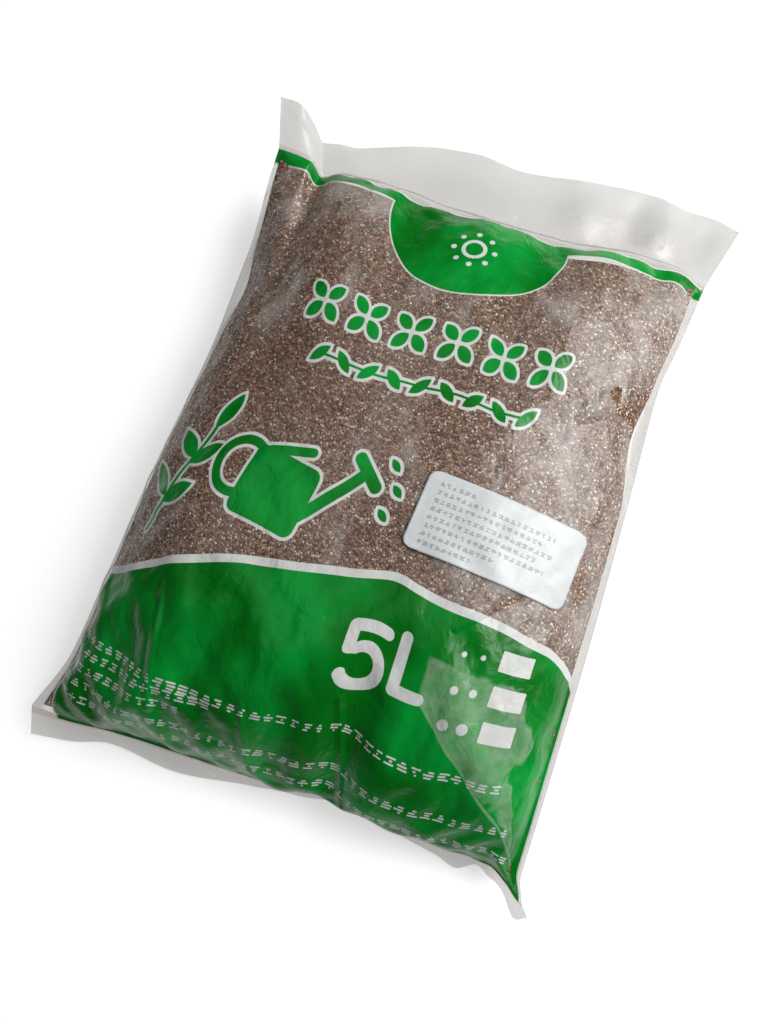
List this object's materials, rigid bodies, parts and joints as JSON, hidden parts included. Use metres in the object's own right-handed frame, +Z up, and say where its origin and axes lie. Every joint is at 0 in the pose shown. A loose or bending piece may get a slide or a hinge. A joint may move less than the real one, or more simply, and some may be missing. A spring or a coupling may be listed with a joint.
{
  "type": "bag of horticultural vermiculite",
  "caption": "Clear heat-sealed film pillow bag full of brown granules, with a green printed band, lying on its back",
  "frame": {"origin": "Centre of the bag's outline on plan, on the floor it lies on", "axes": "+Y runs from the bottom seal to the header, +Z is up through the printed front, +X is to the right of someone reading the front"},
  "size_m": [0.3068, 0.4148, 0.0767],
  "materials": {
    "film": "clear, slightly hazy",
    "fill": "loose granules",
    "label": "satin"
  },
  "bodies": {
    "root": {"bag_film": "film", "vermiculite_fill": "fill", "label": "label"}
  },
  "joints": []
}
